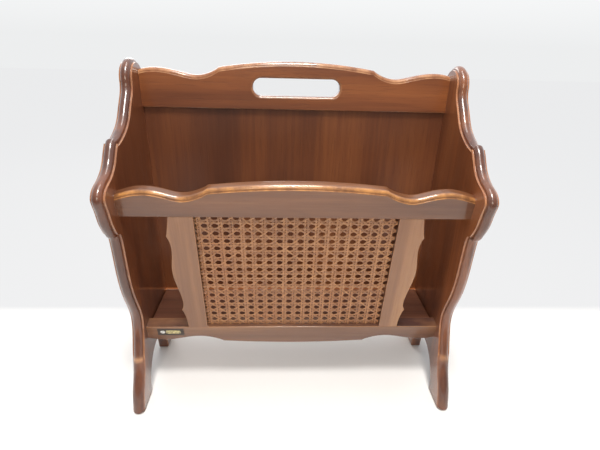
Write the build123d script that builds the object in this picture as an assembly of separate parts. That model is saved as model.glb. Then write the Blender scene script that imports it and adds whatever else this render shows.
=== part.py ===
from build123d import *
import math
import os

# A magazine rack in stained hardwood.  Millimetres, +Z up, -Y is the front, +X is to the right.
# The origin is on the floor, under the middle of the outer box.

# ---------------------------------------------------------------- driving dimensions
INNER_WIDTH = 406.0          # between the two side panels
SIDE_THICKNESS = 16.0
DEPTH = 184.0                # front of the nose to the back edge of the side panels
HEIGHT = 446.0
GLIDE_HEIGHT = 2.0           # the feet stand this far off the floor

RAIL_THICKNESS = 16.0        # handle rail and back bottom rail
BACK_FACE_Y = 71.0           # front faces of the handle rail and the back bottom rail
RAIL_ROUND = 5.0             # rounding of the handle rail's top edges
SLOT_ROUND = 3.0
PLY_THICKNESS = 4.0
PLY_SET_BACK = 5.0           # from the rails' front faces to the plywood's front face
GROOVE_DEPTH = 5.0

FRAME_THICKNESS = 17.0       # leaning front frame
FRAME_LEAN = 10.3            # degrees, top towards the front
FRAME_FOOT_Y = -29.0         # upper front corner of the lower front rail
FRAME_FOOT_Z = 105.2
FRAME_ROUND = 3.2            # rounding of the front top rail's top edges

OPENING_WIDTH = 239.0        # cane opening, in the plane of the front frame
OPENING_HEIGHT = 181.5
CANE_SET_BACK = 5.3          # front face of the frame to the front of the cane
CANE_THICKNESS = 1.6
REBATE_WIDTH = 6.0
BEAD_DEPTH = 5.0
BEAD_WIDTH = 5.6

BOARD_THICKNESS = 12.0
BOARD_TOP_Z = 102.0
BOARD_SIDE_GAP = 0.6
BOARD_ROUND = 3.0
BACK_RAIL_HEIGHT = 30.0
CLEAT_SECTION = 15.0
CLEAT_INSET = 8.0            # clear space between a cleat's ends and the rails

DOWEL_RADIUS = 4.0
DOWEL_IN_SIDE = 11.0         # length of a dowel in the side panel
DOWEL_IN_RAIL = 19.0         # and in the rail's end
STILE_DOWEL_RADIUS = 3.0
STILE_DOWEL_HALF_LENGTH = 14.0
SCREW_RADIUS = 2.0
SCREW_HEAD_RADIUS = 4.0
SCREW_HEAD_HEIGHT = 2.4
GLIDE_RADIUS = 5.5
GLIDE_PIN_RADIUS = 1.2
GLIDE_PIN_LENGTH = 12.0

LABEL_WIDTH = 36.0
LABEL_HEIGHT = 12.5
LABEL_THICKNESS = 0.3
LABEL_LEFT = -189.0
LABEL_TOP = -3.5             # below the lower front rail's top edge

# ---------------------------------------------------------------- derived values
HALF_INNER = INNER_WIDTH / 2
HALF_OUTER = HALF_INNER + SIDE_THICKNESS
BACK_Y = DEPTH / 2
PLY_FRONT_Y = BACK_FACE_Y + PLY_SET_BACK
PLY_BACK_Y = PLY_FRONT_Y + PLY_THICKNESS
RAIL_BACK_Y = BACK_FACE_Y + RAIL_THICKNESS
RAIL_MIDDLE_Y = BACK_FACE_Y + RAIL_THICKNESS / 2
BOARD_BOTTOM_Z = BOARD_TOP_Z - BOARD_THICKNESS
BACK_RAIL_BOTTOM_Z = BOARD_TOP_Z - BACK_RAIL_HEIGHT
HALF_OPENING = OPENING_WIDTH / 2
HALF_REBATE = HALF_OPENING + REBATE_WIDTH
CANE_BACK = CANE_SET_BACK + CANE_THICKNESS
LEAN = math.radians(FRAME_LEAN)
MARGIN = 1.0                 # how far cutting tools run past a face

# Local X is the rack's X, local Y runs up the leaning frame from the lower rail's top edge,
# and local Z comes out of its front face.
FRAME_PLANE = Plane(
    origin=(0, FRAME_FOOT_Y, FRAME_FOOT_Z),
    x_dir=(1, 0, 0),
    z_dir=(0, -math.cos(LEAN), -math.sin(LEAN)),
)


# ---------------------------------------------------------------- shared shapes
def frame_point(up, depth):
    """Y and Z of a point that is up the leaning frame and depth behind its front face."""
    y = FRAME_FOOT_Y - up * math.sin(LEAN) + depth * math.cos(LEAN)
    z = FRAME_FOOT_Z + up * math.cos(LEAN) + depth * math.sin(LEAN)
    return y, z


def block(x0, x1, y0, y1, z0, z1):
    """A box between two corners."""
    box = Box(x1 - x0, y1 - y0, z1 - z0)
    return Pos((x0 + x1) / 2, (y0 + y1) / 2, (z0 + z1) / 2) * box


def peg(radius, start, end):
    """A round peg from one point to another."""
    direction = Vector(*end) - Vector(*start)
    plane = Plane(origin=start, z_dir=direction)
    return extrude(plane * Circle(radius), amount=direction.length)


def screw(head_point, direction, length):
    """A countersunk wood screw: its flat head is at head_point and it runs along direction."""
    plane = Plane(origin=head_point, z_dir=direction)
    middle = (SCREW_RADIUS + SCREW_HEAD_RADIUS) / 2
    head = Pos(0, 0, SCREW_HEAD_HEIGHT / 2) * Cone(
        SCREW_HEAD_RADIUS, SCREW_RADIUS, SCREW_HEAD_HEIGHT
    )
    shank_length = length - SCREW_HEAD_HEIGHT - middle
    shank = Pos(0, 0, SCREW_HEAD_HEIGHT + shank_length / 2) * Cylinder(
        SCREW_RADIUS, shank_length
    )
    tip = Pos(0, 0, length - middle / 2) * Cone(SCREW_RADIUS, SCREW_RADIUS / 4, middle)
    return plane * (head + shank + tip)


def lean_slab(sketch, depth_from, depth_to):
    """A flat outline given thickness between two depths behind the frame's front face."""
    face = FRAME_PLANE.offset(-depth_from) * sketch
    return extrude(face, amount=depth_from - depth_to)


def lean_block(x0, x1, up0, up1, depth0, depth1):
    """A box between two corners in the leaning frame's own directions."""
    outline = Pos((x0 + x1) / 2, (up0 + up1) / 2) * Rectangle(x1 - x0, up1 - up0)
    return lean_slab(outline, depth0, depth1)


def both_sides(solid):
    """A solid on the right and its mirror image on the left."""
    return [solid, mirror(solid, about=Plane.YZ)]


def save(name, solids):
    """Write one node: one solid, or a group of separate ones."""
    if isinstance(solids, list):
        shape = Compound(children=[piece for item in solids for piece in item.solids()])
    else:
        shape = solids
    export_step(shape, f"parts/{name}.step")


# ---------------------------------------------------------------- dowels, screws and glides
# A rail's end has two dowels, at the given heights.  Pegs on the right; the left is mirrored.
HANDLE_DOWEL_HEIGHTS = (399.0, 420.0)
BACK_RAIL_DOWEL_HEIGHTS = (80.0, 92.0)
TOP_RAIL_DOWEL_UPS = (188.0, 201.0)
BOTTOM_RAIL_DOWEL_UPS = (-17.0, -6.0)
STILE_DOWEL_XS = (131.5, 141.5)


def rail_dowel(y, z):
    """A dowel that runs from a rail's right end into the side panel."""
    return peg(DOWEL_RADIUS, (HALF_INNER - DOWEL_IN_RAIL, y, z), (HALF_INNER + DOWEL_IN_SIDE, y, z))


def lean_rail_dowels(ups):
    """Dowels at the right end of a leaning rail, in the middle of its thickness."""
    return [rail_dowel(*frame_point(up, FRAME_THICKNESS / 2)) for up in ups]


def stile_dowels(up):
    """The right stile's dowels across a joint at the given height up the frame."""
    pegs = []
    for x in STILE_DOWEL_XS:
        start = (x, *frame_point(up - STILE_DOWEL_HALF_LENGTH, FRAME_THICKNESS / 2))
        end = (x, *frame_point(up + STILE_DOWEL_HALF_LENGTH, FRAME_THICKNESS / 2))
        pegs.append(peg(STILE_DOWEL_RADIUS, start, end))
    return pegs


handle_dowels = [rail_dowel(RAIL_MIDDLE_Y, z) for z in HANDLE_DOWEL_HEIGHTS]
back_rail_dowels = [rail_dowel(RAIL_MIDDLE_Y, z) for z in BACK_RAIL_DOWEL_HEIGHTS]
top_rail_dowels = lean_rail_dowels(TOP_RAIL_DOWEL_UPS)
bottom_rail_dowels = lean_rail_dowels(BOTTOM_RAIL_DOWEL_UPS)
low_stile_dowels = stile_dowels(0.0)
high_stile_dowels = stile_dowels(OPENING_HEIGHT)

board_front_y = frame_point(0, FRAME_THICKNESS)[0]
CLEAT_FRONT_Y = board_front_y + CLEAT_INSET
CLEAT_BACK_Y = BACK_FACE_Y - CLEAT_INSET
CLEAT_INNER_X = HALF_INNER - CLEAT_SECTION
CLEAT_BOTTOM_Z = BOARD_BOTTOM_Z - CLEAT_SECTION
cleat_length = CLEAT_BACK_Y - CLEAT_FRONT_Y
CLEAT_SCREW_YS = [CLEAT_FRONT_Y + cleat_length * share for share in (0.15, 0.85)]
BOARD_SCREW_YS = [CLEAT_FRONT_Y + cleat_length * share for share in (0.3, 0.7)]
CLEAT_SCREW_LENGTH = 27.0
BOARD_SCREW_LENGTH = 23.0
cleat_middle_z = BOARD_BOTTOM_Z - CLEAT_SECTION / 2
cleat_middle_x = HALF_INNER - CLEAT_SECTION / 2
cleat_screws = [
    screw((CLEAT_INNER_X, y, cleat_middle_z), (1, 0, 0), CLEAT_SCREW_LENGTH)
    for y in CLEAT_SCREW_YS
]
board_screws = [
    screw((cleat_middle_x, y, CLEAT_BOTTOM_Z), (0, 0, 1), BOARD_SCREW_LENGTH)
    for y in BOARD_SCREW_YS
]

# ---------------------------------------------------------------- side panels
# Outline points are (y, z).  The crown is an arc; the neck, nose and leg are smooth curves
# that meet in crisp corners at the shoulder, the notch and the toe.
CROWN_CENTRE = (66.0, 419.0)
CROWN_RADIUS = HEIGHT - CROWN_CENTRE[1]
SHOULDER = (-29.5, 364.0)
NOTCH = (-67.5, 259.5)
TOE = (-82.5, GLIDE_HEIGHT)
HEEL_Y = -40.0
REAR_FOOT_Y = 53.0
ARCH_HEIGHT = 53.0
STEP_WIDTH = 3.0             # the moulded edge steps in by STEP_INSET beside each face
STEP_INSET = 2.5
STEP_SAMPLES = 24
MOULDING_STOP_Z = 72.0       # the moulding ends above the foot

NECK = [(27.5, 399.0), (12.2, 380.4), (-6.0, 369.2)]
NOSE = [(-39.8, 355.4), (-50.9, 341.7), (-66.0, 332.5), (-83.0, 325.5), (-91.8, 313.5),
        (-88.2, 298.0), (-83.4, 280.4), (-77.5, 268.5)]
LEG = [(-64.4, 246.5), (-62.0, 212.0), (-52.2, 161.9), (-40.5, 124.0), (-46.4, 97.1),
       (-54.6, 74.0), (-63.0, 50.0), (-73.0, 32.0), (-79.6, 14.0)]


def front_curves():
    """The moulded front edge of a side panel, from the crown's back end down to the toe."""
    crown_front = (CROWN_CENTRE[0] - CROWN_RADIUS, CROWN_CENTRE[1])
    crown_top = (CROWN_CENTRE[0], HEIGHT)
    crown_drop = math.sqrt(CROWN_RADIUS**2 - (BACK_Y - CROWN_CENTRE[0]) ** 2)
    crown_back = (BACK_Y, CROWN_CENTRE[1] + crown_drop)
    crown = ThreePointArc(crown_back, crown_top, crown_front)
    neck = Spline([crown_front, *NECK, SHOULDER], tangents=[(0, -1), (-1, -0.05)])
    nose = Spline([SHOULDER, *NOSE, NOTCH], tangents=[(-1, -0.7), (1, -0.5)])
    leg = Spline([NOTCH, *LEG, TOE], tangents=[(0.35, -1), (-0.25, -1)])
    return [crown, neck, nose, leg]


def side_outline():
    """The closed outline of a side panel, in its own plane."""
    curves = front_curves()
    arch_centre = ((HEEL_Y + REAR_FOOT_Y) / 2, GLIDE_HEIGHT)
    arch_half = (REAR_FOOT_Y - HEEL_Y) / 2
    sole = Line(TOE, (HEEL_Y, GLIDE_HEIGHT))
    arch = EllipticalCenterArc(arch_centre, arch_half, ARCH_HEIGHT, arc_size=180)
    rear_sole = Line((REAR_FOOT_Y, GLIDE_HEIGHT), (BACK_Y, GLIDE_HEIGHT))
    back = Line((BACK_Y, GLIDE_HEIGHT), curves[0] @ 0)
    return make_face([*curves, sole, arch, rear_sole, back])


def step_band(curve):
    """The strip between a front curve and a parallel curve STEP_INSET inside the panel."""
    inner = []
    for share in range(STEP_SAMPLES + 1):
        direction = curve % (share / STEP_SAMPLES)
        inward = Vector(-direction.Y, direction.X) * STEP_INSET
        inner.append(curve @ (share / STEP_SAMPLES) + inward)
    inside = Spline(inner)
    outside = curve.edges()[0]
    return make_face([outside, Line(curve @ 1, inside @ 1), inside, Line(inside @ 0, curve @ 0)])


GLIDE_YS = ((TOE[0] + HEEL_Y) / 2, (REAR_FOOT_Y + BACK_Y) / 2)


def make_glide(y):
    """A nail-on glide under a foot: a domed disc and its pin."""
    x = HALF_INNER + SIDE_THICKNESS / 2
    disc = Pos(x, y, GLIDE_HEIGHT / 2) * Cone(GLIDE_RADIUS - 1, GLIDE_RADIUS, GLIDE_HEIGHT)
    pin = peg(GLIDE_PIN_RADIUS, (x, y, GLIDE_HEIGHT), (x, y, GLIDE_HEIGHT + GLIDE_PIN_LENGTH))
    return disc + pin


glides = [make_glide(y) for y in GLIDE_YS]


def make_side_panel():
    """The right side panel: a core with the full outline between two stepped-in faces."""
    outline = side_outline()
    foot = Pos(0, MOULDING_STOP_Z / 2) * Rectangle(DEPTH, MOULDING_STOP_Z)
    face_outline = outline - Pos(*NOTCH) * Circle(STEP_INSET)
    for curve in front_curves():
        face_outline -= step_band(curve) - foot
    core_start = HALF_INNER + STEP_WIDTH
    core_width = SIDE_THICKNESS - 2 * STEP_WIDTH
    panel = extrude(Plane.YZ.offset(core_start) * outline, amount=core_width)
    for start in (HALF_INNER, HALF_OUTER - STEP_WIDTH):
        panel += extrude(Plane.YZ.offset(start) * face_outline, amount=STEP_WIDTH)
    groove_end = HALF_INNER + GROOVE_DEPTH
    panel -= block(HALF_INNER - MARGIN, groove_end, PLY_FRONT_Y, PLY_BACK_Y, ply_bottom, ply_top)
    pegs = handle_dowels + back_rail_dowels + top_rail_dowels + bottom_rail_dowels
    for peg_solid in pegs + cleat_screws + glides:
        panel -= peg_solid
    return panel


# ---------------------------------------------------------------- back: rails and plywood
# The handle rail's top edge, as (x, z) on the right half: a low arc over the slot, a crisp
# corner, a dip, and a soft rise to the side panel.
HANDLE_BOTTOM_Z = 385.0
HANDLE_CROWN_Z = 445.3
HANDLE_CORNER = (101.0, 437.0)
HANDLE_SHOULDER = [(113.0, 430.4), (131.0, 426.8), (150.0, 429.9), (177.0, 434.7)]
HANDLE_END_Z = 432.0
SLOT_LENGTH = 115.0
SLOT_HEIGHT = 22.4
SLOT_Z = 413.5

ply_top = HANDLE_BOTTOM_Z + GROOVE_DEPTH
ply_bottom = BOARD_TOP_Z - GROOVE_DEPTH


def crowned_outline(bottom, crown, corner, shoulder, end):
    """A rail outline with a crowned top: an arc between two corners and a curve to each end."""
    half = [corner, *shoulder, (HALF_INNER, end)]
    right = Spline(half, tangents=[(1, -0.75), (1, -0.35)])
    left = mirror(right, about=Plane.YZ)
    top = ThreePointArc(corner, (0, crown), (-corner[0], corner[1]))
    right_end = Line((HALF_INNER, end), (HALF_INNER, bottom))
    base = Line((HALF_INNER, bottom), (-HALF_INNER, bottom))
    left_end = Line((-HALF_INNER, bottom), (-HALF_INNER, end))
    return make_face([right, top, left, left_end, base, right_end])


def top_edges(rail, plane, lowest):
    """The long edges of a rail's wavy top, on the faces parallel to the given plane."""
    chosen = []
    for edge in rail.edges():
        start, middle, end = [plane.to_local_coords(edge @ share) for share in (0, 0.5, 1)]
        along_face = abs(start.Z - end.Z) < 0.01 and abs(start.X - end.X) > 1
        if along_face and middle.Y > lowest:
            chosen.append(edge)
    return chosen


def make_handle_rail():
    """The back top rail: crowned, with a long hand-hold slot and a groove for the plywood."""
    outline = crowned_outline(
        HANDLE_BOTTOM_Z, HANDLE_CROWN_Z, HANDLE_CORNER, HANDLE_SHOULDER, HANDLE_END_Z
    )
    slot = Pos(0, SLOT_Z) * SlotOverall(SLOT_LENGTH, SLOT_HEIGHT)
    rail = extrude(Plane.XZ.offset(-BACK_FACE_Y) * outline, amount=-RAIL_THICKNESS)
    cutter = extrude(Plane.XZ.offset(-BACK_FACE_Y) * slot, amount=-RAIL_THICKNESS)
    rail -= cutter
    slot_edges = [
        edge for edge in rail.edges()
        if abs((edge @ 0.5).X) <= SLOT_LENGTH / 2 + 1
        and abs((edge @ 0.5).Z - SLOT_Z) <= SLOT_HEIGHT / 2 + 1
        and abs((edge @ 0).Y - (edge @ 1).Y) < 0.01
    ]
    rail = fillet(slot_edges, SLOT_ROUND)
    rail = fillet(top_edges(rail, Plane.XZ, HANDLE_SHOULDER[1][1]), RAIL_ROUND)
    rail -= block(-HALF_INNER, HALF_INNER, PLY_FRONT_Y, PLY_BACK_Y, HANDLE_BOTTOM_Z - 1, ply_top)
    for dowel in handle_dowels:
        for piece in both_sides(dowel):
            rail -= piece
    return rail


def make_back_bottom_rail():
    """The plain rail behind the bottom board, grooved for the plywood's lower edge."""
    rail = block(
        -HALF_INNER, HALF_INNER, BACK_FACE_Y, RAIL_BACK_Y, BACK_RAIL_BOTTOM_Z, BOARD_TOP_Z
    )
    rail -= block(
        -HALF_INNER, HALF_INNER, PLY_FRONT_Y, PLY_BACK_Y, ply_bottom, BOARD_TOP_Z + MARGIN
    )
    for dowel in back_rail_dowels:
        for piece in both_sides(dowel):
            rail -= piece
    return rail


def make_back_panel():
    """The plywood sheet that fills the grooves of both rails and both side panels."""
    reach = HALF_INNER + GROOVE_DEPTH
    return block(-reach, reach, PLY_FRONT_Y, PLY_BACK_Y, ply_bottom, ply_top)


# ---------------------------------------------------------------- bottom board and cleats
def make_bottom_board():
    """The pocket's floor: its front edge follows the lean of the lower front rail."""
    top_up = (BOARD_TOP_Z - FRAME_FOOT_Z - FRAME_THICKNESS * math.sin(LEAN)) / math.cos(LEAN)
    low_up = (BOARD_BOTTOM_Z - FRAME_FOOT_Z - FRAME_THICKNESS * math.sin(LEAN)) / math.cos(LEAN)
    top_front = frame_point(top_up, FRAME_THICKNESS)
    low_front = frame_point(low_up, FRAME_THICKNESS)
    corners = [top_front, low_front, (BACK_FACE_Y, BOARD_BOTTOM_Z), (BACK_FACE_Y, BOARD_TOP_Z)]
    half_width = HALF_INNER - BOARD_SIDE_GAP
    section = make_face(Polyline(*corners, close=True))
    board = extrude(Plane.YZ.offset(-half_width) * section, amount=2 * half_width)
    side_edges = [
        edge for edge in board.edges()
        if abs(abs((edge @ 0.5).X) - half_width) < 0.01 and (edge @ 0.5).Z > BOARD_TOP_Z - 0.01
    ]
    board = fillet(side_edges, BOARD_ROUND)
    for screw_solid in board_screws:
        for piece in both_sides(screw_solid):
            board -= piece
    return board


def make_cleat():
    """The right-hand batten that the bottom board rests on, with its screw holes."""
    cleat = block(
        CLEAT_INNER_X, HALF_INNER, CLEAT_FRONT_Y, CLEAT_BACK_Y, CLEAT_BOTTOM_Z, BOARD_BOTTOM_Z
    )
    for screw_solid in cleat_screws + board_screws:
        cleat -= screw_solid
    return cleat


# ---------------------------------------------------------------- leaning front frame
# Outlines are (x, up): up is measured in the frame's own plane from the lower rail's top edge.
TOP_RAIL_CROWN = 222.8
TOP_RAIL_CORNER = (101.0, 216.8)
TOP_RAIL_SHOULDER = [(113.0, 210.4), (131.0, 206.4), (152.0, 211.4), (176.0, 214.6)]
TOP_RAIL_END = 208.0

LOW_RAIL_MIDDLE = -32.8
LOW_RAIL_CORNER = (99.0, -28.8)
LOW_RAIL_SCALLOP = [(109.0, -23.6), (131.0, -19.0), (169.0, -25.2)]
LOW_RAIL_END = -22.6

STILE_UPPER_TIP = (154.3, 153.6)
STILE_LOWER_TIP = (150.6, 32.6)
STILE_TOP_X = 148.7
STILE_FOOT_X = 145.8
STILE_WAIST = [(150.6, 135.0), (154.3, 103.0), (148.2, 55.0)]

rebate_cutter = lean_block(
    -HALF_REBATE, HALF_REBATE, -REBATE_WIDTH, OPENING_HEIGHT + REBATE_WIDTH,
    CANE_SET_BACK, FRAME_THICKNESS + MARGIN,
)


def make_front_top_rail():
    """The moulded, crowned upper rail of the front frame."""
    outline = crowned_outline(
        OPENING_HEIGHT, TOP_RAIL_CROWN, TOP_RAIL_CORNER, TOP_RAIL_SHOULDER, TOP_RAIL_END
    )
    rail = lean_slab(outline, 0, FRAME_THICKNESS)
    rail = fillet(top_edges(rail, FRAME_PLANE, TOP_RAIL_SHOULDER[1][1]), FRAME_ROUND)
    rail -= rebate_cutter
    for dowel in top_rail_dowels + high_stile_dowels:
        for piece in both_sides(dowel):
            rail -= piece
    return rail


def make_front_bottom_rail():
    """The lower rail of the front frame, with a scalloped lower edge."""
    half = [LOW_RAIL_CORNER, *LOW_RAIL_SCALLOP, (HALF_INNER, LOW_RAIL_END)]
    right = Spline(half, tangents=[(1, 0.3), (1, 0.2)])
    left = mirror(right, about=Plane.YZ)
    middle = ThreePointArc(LOW_RAIL_CORNER, (0, LOW_RAIL_MIDDLE),
                           (-LOW_RAIL_CORNER[0], LOW_RAIL_CORNER[1]))
    right_end = Line((HALF_INNER, LOW_RAIL_END), (HALF_INNER, 0))
    top = Line((HALF_INNER, 0), (-HALF_INNER, 0))
    left_end = Line((-HALF_INNER, 0), (-HALF_INNER, LOW_RAIL_END))
    outline = make_face([right, right_end, top, left_end, left, middle])
    rail = lean_slab(outline, 0, FRAME_THICKNESS)
    rail -= rebate_cutter
    for dowel in bottom_rail_dowels + low_stile_dowels:
        for piece in both_sides(dowel):
            rail -= piece
    return rail


def make_stile():
    """The right stile: straight beside the cane, with two small tips on its outer edge."""
    head = Spline([(STILE_TOP_X, OPENING_HEIGHT), (151.0, 168.0), STILE_UPPER_TIP],
                  tangents=[(0, -1), (0.4, -1)])
    waist = Spline([STILE_UPPER_TIP, *STILE_WAIST, STILE_LOWER_TIP],
                   tangents=[(-0.6, -1), (0.5, -1)])
    foot = Spline([STILE_LOWER_TIP, (147.2, 20.0), (STILE_FOOT_X, 0)],
                  tangents=[(-0.6, -1), (0, -1)])
    base = Line((STILE_FOOT_X, 0), (HALF_OPENING, 0))
    inner = Line((HALF_OPENING, 0), (HALF_OPENING, OPENING_HEIGHT))
    top = Line((HALF_OPENING, OPENING_HEIGHT), (STILE_TOP_X, OPENING_HEIGHT))
    outline = make_face([head, waist, foot, base, inner, top])
    stile = lean_slab(outline, 0, FRAME_THICKNESS)
    stile -= rebate_cutter
    for dowel in low_stile_dowels + high_stile_dowels:
        stile -= dowel
    return stile


# ---------------------------------------------------------------- cane and its beads
BEAD_OUTER_TOP = OPENING_HEIGHT + REBATE_WIDTH
BEAD_INNER_TOP = BEAD_OUTER_TOP - BEAD_WIDTH
BEAD_OUTER_LOW = -REBATE_WIDTH
BEAD_INNER_LOW = BEAD_OUTER_LOW + BEAD_WIDTH
BEAD_INNER_X = HALF_REBATE - BEAD_WIDTH
BEAD_BACK = CANE_BACK + BEAD_DEPTH

os.makedirs("parts", exist_ok=True)

side_panel_right = make_side_panel()
save("side_panel_right", side_panel_right)
save("side_panel_left", mirror(side_panel_right, about=Plane.YZ))

save("handle_rail", make_handle_rail())
save("back_bottom_rail", make_back_bottom_rail())
save("back_panel", make_back_panel())

cleat = make_cleat()
save("bottom_board", make_bottom_board())
save("bottom_cleat_right", cleat)
save("bottom_cleat_left", mirror(cleat, about=Plane.YZ))

stile = make_stile()
save("front_top_rail", make_front_top_rail())
save("front_bottom_rail", make_front_bottom_rail())
save("front_stile_right", stile)
save("front_stile_left", mirror(stile, about=Plane.YZ))

cane = lean_block(
    -HALF_REBATE, HALF_REBATE, BEAD_OUTER_LOW, BEAD_OUTER_TOP, CANE_SET_BACK, CANE_BACK
)
bead_top = lean_block(
    -HALF_REBATE, HALF_REBATE, BEAD_INNER_TOP, BEAD_OUTER_TOP, CANE_BACK, BEAD_BACK
)
bead_bottom = lean_block(
    -HALF_REBATE, HALF_REBATE, BEAD_OUTER_LOW, BEAD_INNER_LOW, CANE_BACK, BEAD_BACK
)
bead_right = lean_block(
    BEAD_INNER_X, HALF_REBATE, BEAD_INNER_LOW, BEAD_INNER_TOP, CANE_BACK, BEAD_BACK
)
save("cane_panel", cane)
save("cane_bead_top", bead_top)
save("cane_bead_bottom", bead_bottom)
save("cane_bead_right", bead_right)
save("cane_bead_left", mirror(bead_right, about=Plane.YZ))

label = lean_block(
    LABEL_LEFT, LABEL_LEFT + LABEL_WIDTH, LABEL_TOP - LABEL_HEIGHT, LABEL_TOP,
    -LABEL_THICKNESS, 0,
)
save("blank_label", label)

hardware = {
    "handle_rail_dowels": handle_dowels,
    "back_bottom_rail_dowels": back_rail_dowels,
    "front_top_rail_dowels": top_rail_dowels,
    "front_bottom_rail_dowels": bottom_rail_dowels,
    "stile_dowels": low_stile_dowels + high_stile_dowels,
    "cleat_screws": cleat_screws,
    "board_screws": board_screws,
    "foot_glides": glides,
}
for name, right_hand in hardware.items():
    save(name, [piece for solid in right_hand for piece in both_sides(solid)])
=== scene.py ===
import math

import bmesh
import bpy
import numpy as np
from mathutils import Matrix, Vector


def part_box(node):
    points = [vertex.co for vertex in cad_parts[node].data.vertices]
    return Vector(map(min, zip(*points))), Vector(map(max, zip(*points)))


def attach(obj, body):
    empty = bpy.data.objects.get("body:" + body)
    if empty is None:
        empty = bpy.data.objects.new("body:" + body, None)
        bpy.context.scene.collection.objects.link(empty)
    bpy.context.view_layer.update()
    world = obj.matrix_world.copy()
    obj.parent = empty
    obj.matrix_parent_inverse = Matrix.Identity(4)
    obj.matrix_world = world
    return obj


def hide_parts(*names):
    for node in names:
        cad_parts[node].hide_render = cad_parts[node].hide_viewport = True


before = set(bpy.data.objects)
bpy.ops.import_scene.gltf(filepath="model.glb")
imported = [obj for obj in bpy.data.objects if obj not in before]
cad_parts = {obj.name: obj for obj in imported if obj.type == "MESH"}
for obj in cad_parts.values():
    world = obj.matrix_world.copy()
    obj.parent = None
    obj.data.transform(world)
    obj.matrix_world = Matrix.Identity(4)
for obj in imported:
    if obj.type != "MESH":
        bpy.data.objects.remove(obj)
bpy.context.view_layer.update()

MM = 0.001

# Eye: a little above the rack and close in front, looking down into its pocket. The lens is
# wide, so the handle looks broader than the feet.
EYE = (-0.01912, -0.50192, 0.47137)
LOOK_DOWN = math.radians(23.974)
LOOK_RIGHT = math.radians(2.868)
TILT = math.radians(1.626)
LENS = 24.96

scene = bpy.context.scene
scene.view_settings.view_transform = "Standard"
scene.view_settings.look = "None"

camera = bpy.data.objects.new("camera", bpy.data.cameras.new("camera"))
camera.data.lens = LENS
camera.data.sensor_width = 36.0
camera.data.clip_start = 0.02
camera.matrix_world = (
    Matrix.Translation(EYE)
    @ Matrix.Rotation(-LOOK_RIGHT, 4, "Z")
    @ Matrix.Rotation(math.pi / 2 - LOOK_DOWN, 4, "X")
    @ Matrix.Rotation(TILT, 4, "Z")
)
scene.collection.objects.link(camera)
scene.camera = camera

# Room: white to the eye. The light that it sheds on the rack is bright behind and overhead, and
# dimmer in front and low down, as it is with a pale wall close behind. What the polish mirrors
# of it is brighter again.
MIRRORED_GAIN = 1.7


def span(tree, value, low, high, to_low=0.0, to_high=1.0):
    """Value carried from the range low..high to to_low..to_high, and held there."""
    node = tree.nodes.new("ShaderNodeMapRange")
    for label, number in zip(("From Min", "From Max", "To Min", "To Max"), (low, high, to_low, to_high)):
        node.inputs[label].default_value = number
    tree.links.new(value, node.inputs["Value"])
    return node.outputs["Result"]


def combine(tree, operation, first, second):
    """One Math node. Each of first and second is a number or a socket."""
    node = tree.nodes.new("ShaderNodeMath")
    node.operation = operation
    for socket, given in zip(node.inputs, (first, second)):
        if isinstance(given, (int, float)):
            socket.default_value = given
        else:
            tree.links.new(given, socket)
    return node.outputs["Value"]


world = bpy.data.worlds.new("white_room")
world.use_nodes = True
room = world.node_tree
light_path = room.nodes.new("ShaderNodeLightPath")
direction = room.nodes.new("ShaderNodeSeparateXYZ")
room.links.new(room.nodes.new("ShaderNodeTexCoord").outputs["Generated"], direction.inputs["Vector"])
behind = span(room, direction.outputs["Y"], -0.6, 0.5, 0.2, 0.7)
overhead = span(room, direction.outputs["Z"], 0.2, 1.0, 0.0, 0.12)
low_down = span(room, direction.outputs["Z"], -0.1, 0.5, 0.25, 1.0)
gain = room.nodes.new("ShaderNodeMix")
gain.inputs["B"].default_value = MIRRORED_GAIN
room.links.new(low_down, gain.inputs["A"])
room.links.new(light_path.outputs["Is Glossy Ray"], gain.inputs["Factor"])
strength = combine(room, "MULTIPLY", combine(room, "ADD", behind, overhead), gain.outputs["Result"])
lighting = room.nodes["Background"]
lighting.inputs["Color"].default_value = (0.96, 0.975, 1.0, 1)
room.links.new(strength, lighting.inputs["Strength"])
backdrop = room.nodes.new("ShaderNodeBackground")
backdrop.inputs["Color"].default_value = (0.985, 0.995, 1.0, 1)
room.links.new(span(room, direction.outputs["Z"], 0.0, 0.09, 0.86, 0.94), backdrop.inputs["Strength"])
seen = room.nodes.new("ShaderNodeMixShader")
room.links.new(light_path.outputs["Is Camera Ray"], seen.inputs["Fac"])
room.links.new(lighting.outputs["Background"], seen.inputs[1])
room.links.new(backdrop.outputs["Background"], seen.inputs[2])
room.links.new(seen.outputs["Shader"], room.nodes["World Output"].inputs["Surface"])
scene.world = world


def soft_light(name, place, aim, width, length, power, colour):
    """A light panel width by length at place, its length running towards the rack's back, with
    its face towards aim."""
    panel = bpy.data.objects.new(name, bpy.data.lights.new(name, "AREA"))
    panel.data.shape = "RECTANGLE"
    panel.data.size = width
    panel.data.size_y = length
    panel.data.energy = power
    panel.data.color = colour
    way = np.subtract(aim, place)
    across = math.atan2(way[0], -way[1])
    down = math.atan2(math.hypot(way[0], way[1]), -way[2])
    panel.matrix_world = (
        Matrix.Translation(place) @ Matrix.Rotation(across, 4, "Z") @ Matrix.Rotation(-down, 4, "X")
    )
    panel.visible_camera = False
    scene.collection.objects.link(panel)


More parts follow.
